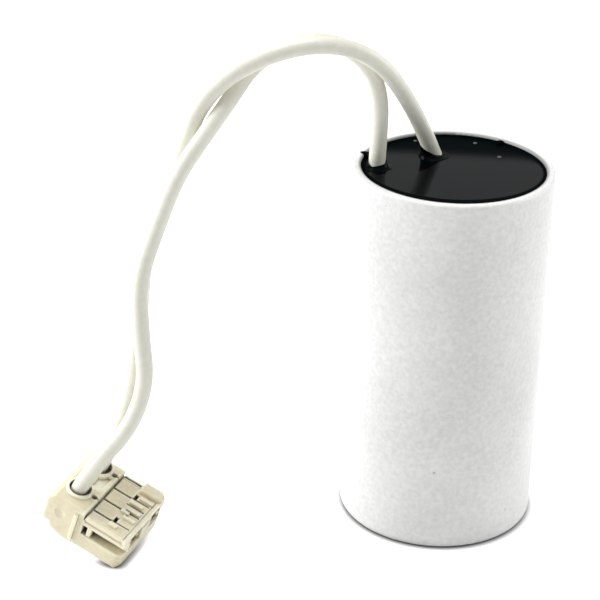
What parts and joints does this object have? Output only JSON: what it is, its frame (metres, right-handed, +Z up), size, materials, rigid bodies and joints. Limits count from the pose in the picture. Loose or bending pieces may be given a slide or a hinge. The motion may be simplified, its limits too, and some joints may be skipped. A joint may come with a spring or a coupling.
{
  "type": "capacitor",
  "caption": "Cylindrical motor-run capacitor: white plastic can cast full of black resin, with insulated leads that arch over to a small ivory plug housing.",
  "frame": {"origin": "centre of the can's base, where the can stands", "axes": "+Z up along the can's axis; the leads arch over towards -X and the plug housing lies at the -X, -Y side"},
  "size_m": [0.0734, 0.043, 0.0781],
  "materials": {
    "white_case": "smooth moulded plastic with a soft sheen",
    "black_resin": "cast resin, glossy self-levelled top",
    "wound_film": "metallised film, tightly wound",
    "core_plastic": "plain moulded plastic",
    "sprayed_zinc": "flame-sprayed zinc, matt and grainy",
    "solder": "tin solder, satin",
    "tinned_copper": "tinned copper, satin",
    "sleeve_plastic": "plain plastic sleeve",
    "wire_insulation": "smooth extruded insulation with a satin gloss",
    "tinned_brass": "stamped strip, thinly tinned",
    "ivory_nylon": "moulded nylon, satin"
  },
  "bodies": {
    "root": {"can": "white_case", "potting_resin": "black_resin", "film_winding": "wound_film", "winding_core": "core_plastic", "lower_metal_spray": "sprayed_zinc", "upper_metal_spray": "sprayed_zinc", "lower_solder_joint": "solder", "upper_solder_joint": "solder", "upper_lead_tail": "tinned_copper", "lower_lead": "tinned_copper", "lead_sleeve": "sleeve_plastic", "wire_a": "wire_insulation", "wire_b": "wire_insulation", "conductor_end_a": "tinned_copper", "conductor_end_b": "tinned_copper", "terminal_a": "tinned_brass", "terminal_b": "tinned_brass", "connector_body": "ivory_nylon", "connector_cap": "ivory_nylon"}
  },
  "joints": []
}
